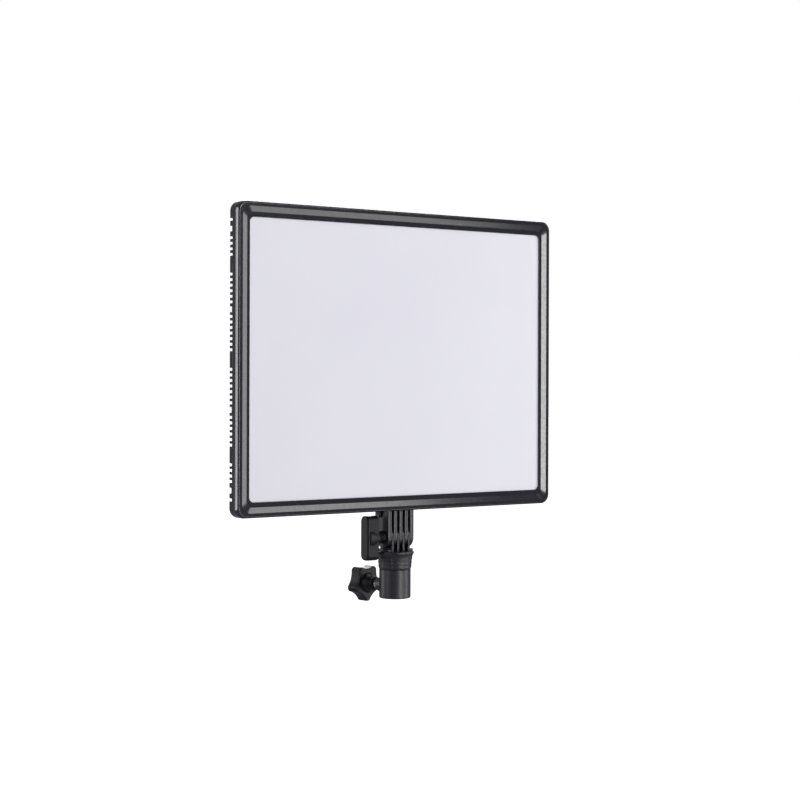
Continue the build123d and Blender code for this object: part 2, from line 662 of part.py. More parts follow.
def write_panel():
    """The panel and its light stack."""
    save("front_bezel", front_bezel())
    save("rear_shell", rear_shell())
    save("diffuser_plate", stack_plate(STRIP_X + STRIP_T + 1.2, DIFFUSER_Y, DIFFUSER_T))
    save("light_guide_plate", stack_plate(GUIDE_HALF_W, GUIDE_Y, GUIDE_T))
    save("reflector_sheet", stack_plate(GUIDE_HALF_W, REFLECTOR_Y, REFLECTOR_T))
    save("heat_spreader", heat_spreader())
    for name, side in (("left", -1), ("right", 1)):
        save(f"led_strip_{name}", led_strip(side))
        save(f"led_chips_{name}", *led_chips(side))
    save("led_leads", *led_leads())


def write_screws():
    """The four sets of screws that face the rear."""
    shell = [pan_screw(x, z, BACK_Y - 0.2, 2.8, 1.6, 1.48, 10.5) for x, z in SHELL_SCREWS]
    bracket = [pan_screw(x, z, BACK_Y + 6.3, 3.6, 1.8, 1.95, 9.0) for x, z in BRACKET_SCREWS]
    housing = [pan_screw(x, z, REAR_Y - 0.4, 2.8, 1.8, 1.48, 24.0) for x, z in HOUSING_SCREWS]
    plate = [pan_screw(x, z, REAR_Y + 2.5, 2.2, 1.2, 1.2, 3.4) for x, z in PLATE_SCREWS]
    save("shell_screws", *shell)
    save("bracket_screws", *bracket)
    save("housing_screws", *housing)
    save("plate_screws", *plate)


def write_housing():
    """The rear housing, its boards and its controls."""
    save("control_housing", control_housing())
    save("control_board", control_board())
    save("driver_board", driver_board())
    save("driver_parts", *driver_parts())
    save("board_standoffs", *board_standoffs())
    save("display_module", block(-21, 21, BOARD_Y + BOARD_T, REAR_Y - WALL - 0.6,
                                 CONTROL_Z - 11, CONTROL_Z + 11))
    save("display_window", block(-23.8, 23.8, REAR_Y - 1.05, REAR_Y - 0.05,
                                 CONTROL_Z - 12.8, CONTROL_Z + 12.8))
    for name, x in (("brightness", KNOB_X), ("colour", -KNOB_X)):
        save(f"{name}_encoder", encoder(x))
        save(f"{name}_shaft", encoder_shaft(x))
        save(f"{name}_dial", dial(x))
    for name, x in zip(("mode", "channel", "scene"), BUTTON_X):
        save(f"{name}_button", push_button(x))
    save("button_switches", *[button_switch(x) for x in BUTTON_X])
    save("power_switch_body", switch_body())
    save("power_rocker", power_rocker())
    save("dc_socket", dc_socket())
    save("dc_pin", dc_pin())
    save("battery_plate", battery_plate())
    save("battery_contacts", *battery_contacts())
    save("battery_latch", battery_latch())


os.makedirs("parts", exist_ok=True)
write_receiver()
write_tilt_lock()
write_panel()
write_screws()
write_housing()
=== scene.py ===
import json
import math

import bmesh
import bpy
from mathutils import Matrix, Vector


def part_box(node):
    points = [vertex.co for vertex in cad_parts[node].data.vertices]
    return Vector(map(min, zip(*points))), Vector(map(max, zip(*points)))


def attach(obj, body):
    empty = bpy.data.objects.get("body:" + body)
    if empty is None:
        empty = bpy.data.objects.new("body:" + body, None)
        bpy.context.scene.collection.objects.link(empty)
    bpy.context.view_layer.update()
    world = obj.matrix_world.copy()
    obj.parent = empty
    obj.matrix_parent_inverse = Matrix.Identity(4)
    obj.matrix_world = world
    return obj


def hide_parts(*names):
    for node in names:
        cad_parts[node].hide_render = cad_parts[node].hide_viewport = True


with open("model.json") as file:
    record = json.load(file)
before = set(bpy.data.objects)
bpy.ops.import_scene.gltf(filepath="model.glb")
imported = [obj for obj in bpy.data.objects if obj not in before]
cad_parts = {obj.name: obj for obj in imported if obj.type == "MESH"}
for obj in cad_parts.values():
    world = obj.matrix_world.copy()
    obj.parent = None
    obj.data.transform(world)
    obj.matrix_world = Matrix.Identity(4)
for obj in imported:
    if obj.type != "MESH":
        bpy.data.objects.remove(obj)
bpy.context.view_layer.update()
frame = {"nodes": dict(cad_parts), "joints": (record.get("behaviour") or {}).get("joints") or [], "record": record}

# Everything below is drawn in millimetres in the part's own frame and scaled to metres at the end.
MM = 0.001
JOINTS = {joint["name"]: joint for joint in frame["joints"]}


def box_mm(node):
    """The lowest and highest corners of a CAD node, in millimetres."""
    low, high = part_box(node)
    return low / MM, high / MM


# Places and sizes read from the frame
BEZEL_LOW, BEZEL_HIGH = box_mm("front_bezel")
SHELL_LOW, SHELL_HIGH = box_mm("rear_shell")
BRACKET_TOP = box_mm("tilt_bracket")[1].z
HALF_W = BEZEL_HIGH.x
HALF_H = (BEZEL_HIGH.z - BEZEL_LOW.z) / 2
MID_Z = (BEZEL_HIGH.z + BEZEL_LOW.z) / 2
PANEL_BOTTOM = BEZEL_LOW.z
FRONT_Y = BEZEL_LOW.y
SEAM_Y = BEZEL_HIGH.y
SHELL_FRONT_Y = SHELL_LOW.y
BACK_Y = SHELL_HIGH.y
TILT_Z = JOINTS["tilt"]["pos_m"][2] / MM
LOCK_Z = JOINTS["spigot_lock_turn"]["pos_m"][2] / MM
LOCK_DIR = Vector(JOINTS["spigot_lock_turn"]["axis"]).normalized()

# Sizes shared with the CAD
CORNER_R = 9.0
WALL = 2.0
COMB_HALF = 14.85
FINGER_R = 11.0
OUTER_FINGER_T = 4.2
INNER_FINGER_T = 3.4
INNER_PITCH = 6.3
TOOTH_T = 2.35
TOOTH_R = 10.8
BOLT_HOLE_R = 3.05
BARREL_R = 15.5
BARREL_TOP = 28.3
BORE_R = 8.1
BORE_DEPTH = 34.0
TENON_TOP = 39.0
COLLAR_TOP = 46.0
COLLAR_LIP_R = 18.6
SHOULDER_TOP = 48.5
COLLAR_FLARE = [(15.7, 28.45), (16.1, 33.8), (16.4, 37.7), (17.1, 41.6), (18.3, 44.2)]
COLLAR_GROOVES = (33.0, 36.8, 40.6)
PAD_TURN = 24.0
PAD_RISE = 0.4
STAR_INNER = 35.8
STAR_OUTER = 47.8
STAR_R = 18.4


# Mesh helpers

def solid(name, points, faces):
    """A mesh object from points in millimetres, with its faces turned outward."""
    mesh = bpy.data.meshes.new(name)
    mesh.from_pydata([tuple(Vector(p) * MM) for p in points], [], faces)
    work = bmesh.new()
    work.from_mesh(mesh)
    bmesh.ops.remove_doubles(work, verts=work.verts, dist=0.0005 * MM)
    bmesh.ops.recalc_face_normals(work, faces=work.faces)
    work.to_mesh(mesh)
    work.free()
    thing = bpy.data.objects.new(name, mesh)
    bpy.context.scene.collection.objects.link(thing)
    return thing


def loft(name, rings, closed=False):
    """Joins rings of equal length in order; an open chain gets a cap at each end."""
    count = len(rings[0])
    points = [p for ring in rings for p in ring]
    spans = len(rings) if closed else len(rings) - 1
    faces = []
    for i in range(spans):
        a, b = i * count, ((i + 1) % len(rings)) * count
        faces += [(a + k, a + (k + 1) % count, b + (k + 1) % count, b + k) for k in range(count)]
    if not closed:
        faces.append(tuple(range(count)))
        faces.append(tuple(range(len(points) - count, len(points))))
    return solid(name, points, faces)


def rounded_outline(half_a, half_b, radius, steps=10):
    """Points round a rectangle with rounded corners, centred on zero."""
    points = []
    for sign_a, sign_b, start in ((1, 1, 0), (-1, 1, 90), (-1, -1, 180), (1, -1, 270)):
        for k in range(steps + 1):
            turn = math.radians(start + 90 * k / steps)
            points.append((sign_a * (half_a - radius) + radius * math.cos(turn),
                           sign_b * (half_b - radius) + radius * math.sin(turn)))
    return points


def panel_ring(inset, y, radius, extra_z=0.0):
    """A rounded rectangle round the panel at depth y, drawn in from its outer edge."""
    outline = rounded_outline(HALF_W - inset, HALF_H - inset - extra_z, radius)
    return [(x, y, MID_Z + z) for x, z in outline]


def block(name, low, high):
    """A box between two corners, a step on the way to a finished piece."""
    (x0, y0, z0), (x1, y1, z1) = low, high
    rings = [[(x, y0, z0), (x, y1, z0), (x, y1, z1), (x, y0, z1)] for x in (x0, x1)]
    return loft(name, rings)


def axis_frame(origin, direction):
    """A matrix whose Z axis runs along a direction from an origin, in millimetres."""
    z = Vector(direction).normalized()
    helper = Vector((0, 0, 1)) if abs(z.z) < 0.9 else Vector((0, 1, 0))
    x = helper.cross(z).normalized()
    y = z.cross(x)
    turn = Matrix((x, y, z)).transposed().to_4x4()
    return Matrix.Translation(Vector(origin)) @ turn


def turned(name, profile, origin=(0, 0, 0), direction=(0, 0, 1), steps=96, shape=None, closed=False):
    """A turned solid: profile lists (radius, height) along the axis, from end to end.

    With closed, the profile is a loop and the solid is a ring.
    shape(angle, radius, height) may change the radius round the axis.
    """
    place = axis_frame(origin, direction)
    rings = []
    for radius, height in profile:
        ring = []
        for k in range(steps):
            angle = 2 * math.pi * k / steps
            r = shape(angle, radius, height) if shape else radius
            ring.append(place @ Vector((r * math.cos(angle), r * math.sin(angle), height)))
        rings.append(ring)
    return loft(name, rings, closed)


def arc(centre, radius, start, end, steps):
    """Points along an arc, from a start angle to an end angle in degrees."""
    turns = [math.radians(start + (end - start) * k / steps) for k in range(steps + 1)]
    return [(centre[0] + radius * math.cos(t), centre[1] + radius * math.sin(t)) for t in turns]


def settle(thing):
    """Applies a piece's modifiers."""
    bpy.context.view_layer.update()
    graph = bpy.context.evaluated_depsgraph_get()
    mesh = bpy.data.meshes.new_from_object(thing.evaluated_get(graph))
    thing.modifiers.clear()
    thing.data = mesh
    return thing


def prism(name, outline, start, end, place=None):
    """Sweeps a closed (a, b) outline along X from start to end, or along a placed frame's Z."""
    if place is None:
        rings = [[(x, a, b) for a, b in outline] for x in (start, end)]
    else:
        rings = [[place @ Vector((a, b, h)) for a, b in outline] for h in (start, end)]
    return loft(name, rings)


def joined(things):
    """Several solids as one object."""
    work = bmesh.new()
    for thing in things:
        work.from_mesh(thing.data)
    mesh = bpy.data.meshes.new("joined")
    work.to_mesh(mesh)
    work.free()
    whole = bpy.data.objects.new("joined", mesh)
    bpy.context.scene.collection.objects.link(whole)
    for thing in things:
        bpy.data.objects.remove(thing)
    return whole


def combine(target, others, operation):
    """Adds other solids to the target, or cuts them out of it."""
    tool = joined(others)
    modifier = target.modifiers.new("combine", "BOOLEAN")
    modifier.operation = operation
    modifier.solver = "EXACT"
    modifier.use_self = True
    modifier.object = tool
    settle(target)
    bpy.data.objects.remove(tool)
    work = bmesh.new()
    work.from_mesh(target.data)
    bmesh.ops.remove_doubles(work, verts=work.verts, dist=0.004 * MM)
    bmesh.ops.dissolve_limit(work, angle_limit=math.radians(0.4), verts=work.verts, edges=work.edges)
    work.to_mesh(target.data)
    work.free()
    return target


def soften(thing, width, angle=32, segments=3):
    """Rounds a piece's sharp edges."""
    modifier = thing.modifiers.new("edge", "BEVEL")
    modifier.width = width * MM
    modifier.segments = segments
    modifier.limit_method = "ANGLE"
    modifier.angle_limit = math.radians(angle)
    modifier.use_clamp_overlap = True
    modifier.miter_outer = "MITER_ARC"
    return settle(thing)


def shade(thing, angle=38):
    """Smooth shading that keeps flat faces flat and leaves real corners sharp."""
    thing.data.shade_smooth()
    thing.data.set_sharp_from_angle(angle=math.radians(angle))
    modifier = thing.modifiers.new("normals", "WEIGHTED_NORMAL")
    modifier.keep_sharp = True
    modifier.weight = 80
    return settle(thing)


def place_piece(thing, name, body, nodes, slot, finish=None):
    """Names a finished piece, gives it its slot's material or a finish of its own, hangs it on
    its body and hides the CAD nodes that it stands for."""
    thing.name = name
    thing.data.name = name
    thing.data.materials.clear()
    thing.data.materials.append(MATERIALS[finish or slot])
    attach(thing, body)
    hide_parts(*nodes)
    return thing


# Materials

def new_material(name):
    """An empty node material with its shader, output and object coordinates."""
    material = bpy.data.materials.new(name)
    material.use_nodes = True
    nodes = material.node_tree.nodes
    shader = nodes["Principled BSDF"]
    coords = nodes.new("ShaderNodeTexCoord")
    return material, shader, coords.outputs["Object"]


def noise(material, coords, scale, detail=4.0, rough=0.55, stretch=None):
    """A noise texture on the object's own coordinates, with features of about 1 / scale metres."""
    tree = material.node_tree
    texture = tree.nodes.new("ShaderNodeTexNoise")
    texture.inputs["Scale"].default_value = scale
    texture.inputs["Detail"].default_value = detail
    texture.inputs["Roughness"].default_value = rough
    if stretch:
        mapping = tree.nodes.new("ShaderNodeMapping")
        mapping.inputs["Scale"].default_value = stretch
        tree.links.new(coords, mapping.inputs["Vector"])
        coords = mapping.outputs["Vector"]
    tree.links.new(coords, texture.inputs["Vector"])
    return texture.outputs["Fac"]


def ramp(material, value, stops):
    """A colour ramp through (position, colour) stops."""
    tree = material.node_tree
    node = tree.nodes.new("ShaderNodeValToRGB")
    while len(node.color_ramp.elements) < len(stops):
        node.color_ramp.elements.new(0.5)
    for element, (position, colour) in zip(node.color_ramp.elements, stops):
        element.position = position
        element.color = colour if len(colour) == 4 else (*colour, 1.0)
    tree.links.new(value, node.inputs["Fac"])
    return node.outputs["Color"]


def spread(material, value, low, high, start=0.3, end=0.7):
    """Maps a value's start..end on to low..high."""
    tree = material.node_tree
    node = tree.nodes.new("ShaderNodeMapRange")
    for name, number in (("From Min", start), ("From Max", end), ("To Min", low), ("To Max", high)):
        node.inputs[name].default_value = number
    tree.links.new(value, node.inputs["Value"])
    return node.outputs["Result"]


def blend_colours(material, fac, first, second):
    """Mixes two colour outputs by a factor."""
    tree = material.node_tree
    node = tree.nodes.new("ShaderNodeMix")
    node.data_type = "RGBA"
    tree.links.new(fac, node.inputs["Factor"])
    tree.links.new(first, node.inputs["A"])
    tree.links.new(second, node.inputs["B"])
    return node.outputs["Result"]


def bump(material, shader, heights):
    """Chains bumps from (height output, strength, distance in millimetres) on to the shader."""
    tree = material.node_tree
    normal = None
    for height, strength, distance in heights:
        node = tree.nodes.new("ShaderNodeBump")
        node.inputs["Strength"].default_value = strength
        node.inputs["Distance"].default_value = distance * MM
        tree.links.new(height, node.inputs["Height"])
        if normal:
            tree.links.new(normal, node.inputs["Normal"])
        normal = node.outputs["Normal"]
    tree.links.new(normal, shader.inputs["Normal"])


def moulded_plastic(name, colour, roughness, grain=2600.0, grain_depth=0.03, scuffs=0.5, shine=0.5):
    """Moulded plastic: a spark-eroded grain, faint flow marks, and scuffs that polish it."""
    material, shader, coords = new_material(name)
    tree = material.node_tree
    dark = tuple(c * 0.82 for c in colour)
    light = tuple(min(1.0, c * 1.22) for c in colour)
    worn = tuple(min(1.0, c * 1.6 + 0.01) for c in colour)
    flow = noise(material, coords, 22.0, 5.0, 0.6)
    fine = noise(material, coords, grain, 3.0, 0.6)
    scratch = noise(material, coords, 160.0, 6.0, 0.75, stretch=(1.0, 1.0, 0.12))
    base = ramp(material, flow, [(0.3, dark), (0.7, light)])
    scuffed = ramp(material, scratch, [(0.0, worn), (1.0, worn)])
    amount = spread(material, scratch, 0.0, 0.35 * scuffs, 0.62, 0.74)
    tree.links.new(blend_colours(material, amount, base, scuffed), shader.inputs["Base Color"])
    mottled = noise(material, coords, 340.0, 4.0, 0.65)
    varied = spread(material, mottled, roughness - 0.03, roughness + 0.04)
    tree.links.new(varied, shader.inputs["Roughness"])
    shader.inputs["Specular IOR Level"].default_value = shine
    bump(material, shader, [(fine, 0.16, grain_depth), (mottled, 0.03, 0.05)])
    return material


def milky_acrylic(name):
    """The diffuser: milky matt acrylic with a fine prismatic grain."""
    material, shader, coords = new_material(name)
    tree = material.node_tree
    cloud = noise(material, coords, 5.0, 2.0, 0.5)
    fine = noise(material, coords, 1500.0, 2.0, 0.5)
    tint = ramp(material, cloud, [(0.3, (0.71, 0.71, 0.745)), (0.7, (0.74, 0.74, 0.77))])
    tree.links.new(tint, shader.inputs["Base Color"])
    tree.links.new(spread(material, fine, 0.42, 0.56), shader.inputs["Roughness"])
    shader.inputs["Specular IOR Level"].default_value = 0.35
    shader.inputs["Subsurface Weight"].default_value = 0.12
    shader.inputs["Subsurface Radius"].default_value = (0.004, 0.004, 0.004)
    bump(material, shader, [(fine, 0.25, 0.02)])
    return material


def metal(name, colour, roughness, stretch=(1.0, 1.0, 14.0), tarnish=0.25):
    """Turned or drawn metal: fine tool lines, and patches that have dulled."""
    material, shader, coords = new_material(name)
    tree = material.node_tree
    dull = tuple(c * (1 - tarnish) for c in colour)
    patches = noise(material, coords, 130.0, 5.0, 0.6)
    lines = noise(material, coords, 900.0, 4.0, 0.7, stretch=stretch)
    tree.links.new(ramp(material, patches, [(0.35, dull), (0.7, colour)]), shader.inputs["Base Color"])
    tree.links.new(spread(material, lines, roughness - 0.07, roughness + 0.12), shader.inputs["Roughness"])
    shader.inputs["Metallic"].default_value = 1.0
    bump(material, shader, [(lines, 0.25, 0.02)])
    return material


def glossy(name, colour, roughness, alpha=1.0):
    """Smooth acrylic, film or moulded component cases, with faint wipe marks."""
    material, shader, coords = new_material(name)
    tree = material.node_tree
    dark = tuple(c * 0.85 for c in colour)
    cloud = noise(material, coords, 60.0, 4.0, 0.6)
    wipes = noise(material, coords, 210.0, 5.0, 0.7, stretch=(1.0, 0.2, 0.3))
    tree.links.new(ramp(material, cloud, [(0.3, dark), (0.7, colour)]), shader.inputs["Base Color"])
    tree.links.new(spread(material, wipes, roughness, roughness + 0.1), shader.inputs["Roughness"])
    shader.inputs["Alpha"].default_value = alpha
    bump(material, shader, [(wipes, 0.05, 0.01)])
    return material


def circuit_board(name):
    """Green solder mask with raised copper tracks and bare pads."""
    material, shader, coords = new_material(name)
    tree = material.node_tree
    tracks = tree.nodes.new("ShaderNodeTexVoronoi")
    tracks.distance = "MANHATTAN"
    tracks.feature = "DISTANCE_TO_EDGE"
    tracks.inputs["Scale"].default_value = 260.0
    tree.links.new(coords, tracks.inputs["Vector"])
    edge = tracks.outputs["Distance"]
    mask = ramp(material, edge, [(0.04, (0.05, 0.24, 0.12)), (0.09, (0.02, 0.12, 0.06))])
    tree.links.new(mask, shader.inputs["Base Color"])
    grain = noise(material, coords, 700.0, 3.0, 0.5)
    tree.links.new(spread(material, grain, 0.28, 0.42), shader.inputs["Roughness"])
    bump(material, shader, [(edge, 0.3, 0.05)])
    return material


MATERIALS = {
    "black_plastic": moulded_plastic("black_plastic", (0.0095, 0.009, 0.0125), 0.15, 2600.0, 0.015, 0.2),
    "stem_plastic": moulded_plastic("stem_plastic", (0.010, 0.0095, 0.013), 0.38, 2200.0, 0.035, 0.2, 0.58),
    "grip_plastic": moulded_plastic("grip_plastic", (0.006, 0.0055, 0.0075), 0.42, 1900.0, 0.04, 0.3, 0.28),
    "diffuser": milky_acrylic("diffuser"),
    "light_guide": glossy("light_guide", (0.86, 0.9, 0.92), 0.08, 0.5),
    "reflector": glossy("reflector", (0.92, 0.92, 0.92), 0.4),
    "spreader": metal("spreader", (0.78, 0.79, 0.8), 0.35, (1.0, 1.0, 8.0), 0.1),
    "circuit_board": circuit_board("circuit_board"),
    "led_chip": glossy("led_chip", (0.95, 0.78, 0.25), 0.3),
    "lead_film": glossy("lead_film", (0.72, 0.45, 0.15), 0.3),
    "steel": metal("steel", (0.72, 0.72, 0.74), 0.24),
    "black_steel": metal("black_steel", (0.09, 0.09, 0.095), 0.4),
    "brass": metal("brass", (0.78, 0.6, 0.28), 0.28),
    "window": glossy("window", (0.012, 0.013, 0.016), 0.05),
    "display": glossy("display", (0.03, 0.035, 0.04), 0.15),
    "component": glossy("component", (0.03, 0.03, 0.033), 0.32),
    "contact": metal("contact", (0.9, 0.72, 0.35), 0.22),
    "pad": moulded_plastic("pad", (0.72, 0.7, 0.62), 0.45, 900.0, 0.02, 0.3),
}
SLOT_OF = {part["node"]: part["material_slot"] for part in frame["record"]["subparts"]}


def dress_nodes():
    """Gives every CAD node that stays the procedural material of its slot."""
    for name, node in frame["nodes"].items():
        for index in range(len(node.material_slots)):
            node.material_slots[index].material = MATERIALS[SLOT_OF[name]]


# Panel

RING_W = 4.8
SLOPE_END = 10.1
SLOPE_DEPTH = 1.6
WINDOW_INSET = 13.0
WINDOW_EXTRA_Z = 1.7
WINDOW_DEPTH = 3.2
BAND_DEPTH = 5.0
BAND_INSET = 0.614
FRONT_ROUND = 1.6
EDGE = 0.3


def bezel_radius(inset):
    """The corner radius of the bezel's outline at an inset."""
    stops = [(0, CORNER_R), (RING_W, 8.5), (SLOPE_END, 6.0), (WINDOW_INSET, 5.0), (99, 5.0)]
    for (w0, r0), (w1, r1) in zip(stops, stops[1:]):
        if inset <= w1:
            return r0 + (r1 - r0) * (inset - w0) / (w1 - w0)


def rounded_chain(corners, steps=3):
    """A polyline whose corners, each (a, b, radius), are rounded off."""
    points = []
    count = len(corners)
    for i, (a, b, radius) in enumerate(corners):
        here = Vector((a, b))
        before = Vector(corners[i - 1][:2]) - here
        after = Vector(corners[(i + 1) % count][:2]) - here
        if radius <= 0:
            points.append((a, b))
            continue
        half = before.angle(after) / 2
        reach = radius / math.tan(half)
        start = here + before.normalized() * reach
        end = here + after.normalized() * reach
        for k in range(steps + 1):
            t = k / steps
            point = start * (1 - t) ** 2 + here * 2 * t * (1 - t) + end * t ** 2
            points.append(tuple(point))
    return points


def make_bezel():
    """The bezel: tapered band, rounded front edge, flat ring, slope, lip and window."""
    depth = SEAM_Y - FRONT_Y
    profile = rounded_chain([
        (0.0, depth, 0.2), (0.0, BAND_DEPTH, 0.6), (BAND_INSET, 0.0, FRONT_ROUND),
        (RING_W, 0.0, EDGE), (SLOPE_END, SLOPE_DEPTH, 0.5),
        (WINDOW_INSET, SLOPE_DEPTH, EDGE), (WINDOW_INSET, WINDOW_DEPTH, 0.1),
        (WALL, WINDOW_DEPTH, 0.1), (WALL, depth, 0.2)], steps=4)
    rings = []
    for inset, d in profile:
        share = min(1.0, max(0.0, (inset - SLOPE_END) / (WINDOW_INSET - SLOPE_END)))
        rings.append(panel_ring(inset, FRONT_Y + d, bezel_radius(inset), WINDOW_EXTRA_Z * share))
    bezel = loft("bezel", rings, closed=True)
    shade(bezel, 30)
    place_piece(bezel, "bezel", "head", ["front_bezel"], "black_plastic")


VENT_PITCH = 5.12
VENT_W = 2.6
VENT_START = 11.5
WIDE_VENT_W = 5.2
WIDE_VENT_START = 12.4
VENT_REACH = 8.0
VENT_GROUPS = [(9.0, 7), (53.1, 6), (96.8, 4), (129.0, 1)]
WIDE_VENTS = [46.3, 120.5]
REAR_ROUND = 2.6
SCREW_X = (-171, -60, 60, 171)
SCREW_Z = 139.5
CABLE_OPENING = ((-40, 150), (40, 162))


def vent_cutters():
    """The slots down both sides, which wrap from the side wall on to the back."""
    rows = [(first + k * VENT_PITCH, VENT_W, VENT_START)
            for first, count in VENT_GROUPS for k in range(count)]
    rows += [(height, WIDE_VENT_W, WIDE_VENT_START) for height in WIDE_VENTS]
    cutters = []
    for height, width, start in rows:
        for side in (-1, 1):
            z = MID_Z + side * height
            for x0, x1 in ((HALF_W - VENT_REACH, HALF_W + 1), (-HALF_W - 1, VENT_REACH - HALF_W)):
                low = (x0, FRONT_Y + start, z - width / 2)
                cutters.append(block("vent", low, (x1, BACK_Y + 1, z + width / 2)))
    return cutters


def make_shell():
    """The rear shell: a tray with a rounded rear edge, vents and screw recesses."""
    floor_y = BACK_Y - WALL
    profile = [(WALL, floor_y), (WALL, SHELL_FRONT_Y), (0.0, SHELL_FRONT_Y)]
    profile += [(REAR_ROUND - a, BACK_Y - REAR_ROUND + b) for a, b in arc((0, 0), REAR_ROUND, 0, 90, 8)]
    rings = [panel_ring(inset, y, CORNER_R - min(inset, WALL)) for inset, y in profile]
    shell = loft("shell", rings)
    cutters = vent_cutters()
    for x in SCREW_X:
        for z in (MID_Z - SCREW_Z, MID_Z + SCREW_Z):
            profile = [(3.0, BACK_Y - 1.7), (3.0, BACK_Y + 1)]
            cutters.append(turned("hole", profile, (x, 0, z), (0, 1, 0), 32))
    (x0, z0), (x1, z1) = CABLE_OPENING
    cutters.append(block("opening", (x0, floor_y - 1, z0), (x1, BACK_Y + 1, z1)))
    combine(shell, cutters, "DIFFERENCE")
    soften(shell, 0.22, 40, 2)
    shade(shell, 34)
    place_piece(shell, "shell", "head", ["rear_shell"], "black_plastic")


def make_diffuser():
    """The diffuser plate, with softened edges behind the window."""
    low, high = box_mm("diffuser_plate")
    half_w, half_h = high.x, (high.z - low.z) / 2
    rings = []
    corners = arc((0.4, low.y + 0.4), 0.4, -90, -180, 3) + arc((0.4, high.y - 0.4), 0.4, 180, 90, 3)
    for inset, y in corners:
        outline = rounded_outline(half_w - inset, half_h - inset, 2.0)
        rings.append([(x, y, MID_Z + z) for x, z in outline])
    diffuser = loft("diffuser", rings)
    shade(diffuser, 40)
    place_piece(diffuser, "diffuser", "head", ["diffuser_plate"], "diffuser")


# Tilt bracket and stand mount

FINGER_CROWN = 5.0
TOOTH_X = (-1.5 * INNER_PITCH + 0.125, -INNER_PITCH / 2, INNER_PITCH / 2, 1.5 * INNER_PITCH - 0.125)
BRACKET_T = 6.5
BRACKET_SCREWS = [(x, z) for x in (-13, 13) for z in (93, 102)]
PLATE_HALF = 20
FOOT_HALF = 17
GUSSET_Y = 0.7
GUSSET_T = 5.0
GUSSET_END = 19.4


def tab_outline(radius, far_z, reach=0.0):
    """A tab's side view as (y, z): straight edges from far_z to a round end about the tilt axis."""
    side = 1 if far_z > TILT_Z else -1
    end = arc((0, TILT_Z), radius + reach, 0, -180 * side, 28)
    return end + [(-radius - reach, far_z), (radius + reach, far_z)]


def finger(x, thickness):
    """One finger of the comb, with a crowned edge all round."""
    rings = []
    half = thickness / 2
    for k in range(9):
        offset = half * (k / 4 - 1)
        sag = FINGER_CROWN - math.sqrt(FINGER_CROWN ** 2 - offset ** 2)
        rings.append([(x + offset, y, z) for y, z in tab_outline(FINGER_R - sag, PANEL_BOTTOM)])
    return loft("finger", rings)


def make_bracket():
    """Five fingers, their web, and the back plate with its gussets and screw holes."""
    outer_x = COMB_HALF - OUTER_FINGER_T / 2
    parts = [finger(x, OUTER_FINGER_T) for x in (-outer_x, outer_x)]
    parts += [finger(x, INNER_FINGER_T) for x in (-INNER_PITCH, 0.0, INNER_PITCH)]
    parts.append(block("web", (-COMB_HALF, 4.0, TILT_Z + 14.5),
                       (COMB_HALF, FINGER_R - 0.5, PANEL_BOTTOM + 0.5)))
    parts.append(block("plate", (-PLATE_HALF, BACK_Y, PANEL_BOTTOM),
                       (PLATE_HALF, BACK_Y + BRACKET_T, BRACKET_TOP)))
    parts.append(block("foot", (-FOOT_HALF, BACK_Y, PANEL_BOTTOM - 7),
                       (FOOT_HALF, BACK_Y + BRACKET_T - 0.1, PANEL_BOTTOM + 1)))
    for side in (-1, 1):
        place = Matrix.Translation((0, GUSSET_Y, 0)) @ Matrix.Rotation(math.radians(90), 4, "X")
        outline = [(side * GUSSET_END, PANEL_BOTTOM), (side * (COMB_HALF - 1), PANEL_BOTTOM),
                   (side * (COMB_HALF - 1), PANEL_BOTTOM - 8.5), (side * COMB_HALF, PANEL_BOTTOM - 7.4),
                   (side * GUSSET_END, PANEL_BOTTOM - 1.2)]
        parts.append(prism("gusset", outline, -GUSSET_T, 0, place))
    bracket = combine(parts[0], parts[1:], "UNION")
    cutters = [turned("hole", [(BOLT_HOLE_R, -20), (BOLT_HOLE_R, 20)], (0, 0, TILT_Z), (1, 0, 0), 48)]
    cutters.append(turned("pocket", [(5.9, COMB_HALF - 3.2), (5.9, 20)], (0, 0, TILT_Z), (1, 0, 0), 6))
    for x, z in BRACKET_SCREWS:
        cutters.append(turned("hole", [(2.1, 0), (2.1, 12)], (x, 0, z), (0, 1, 0), 24))
        cutters.append(turned("sink", [(3.8, BACK_Y + 4.5), (3.8, 12)], (x, 0, z), (0, 1, 0), 32))
    combine(bracket, cutters, "DIFFERENCE")
    soften(bracket, 0.35, 40, 3)
    shade(bracket, 36)
    place_piece(bracket, "bracket", "head", ["tilt_bracket"], "black_plastic", "stem_plastic")


def collar_radius(z):
    """The collar's outer radius at a height."""
    for (r0, z0), (r1, z1) in zip(COLLAR_FLARE, COLLAR_FLARE[1:]):
        if z <= z1:
            break
    return r0 + (r1 - r0) * (z - z0) / (z1 - z0)


def step(value, edge, width):
    """0 below an edge, 1 above it, with a smooth rise of the given width."""
    t = min(1.0, max(0.0, (value - edge) / width + 0.5))
    return t * t * (3 - 2 * t)


def collar_shape(angle, radius, z):
    """Raises the grip pads from the collar and sinks their three grooves."""
    foot = BARREL_TOP + 1.6
    if z < foot - 0.4 or z > COLLAR_FLARE[-1][1] + 0.3:
        return radius
    turn = (math.degrees(angle) - PAD_TURN + 30) % 60 - 30
    pad = step(23 - abs(turn), 0, 1.6) * step(z, foot, 0.5) * step(COLLAR_FLARE[-1][1] - z, 0, 0.5)
    groove = max(1 - step(abs(z - height), 0.42, 0.3) for height in COLLAR_GROOVES)
    return radius + pad * (PAD_RISE - groove * (PAD_RISE + 0.1))


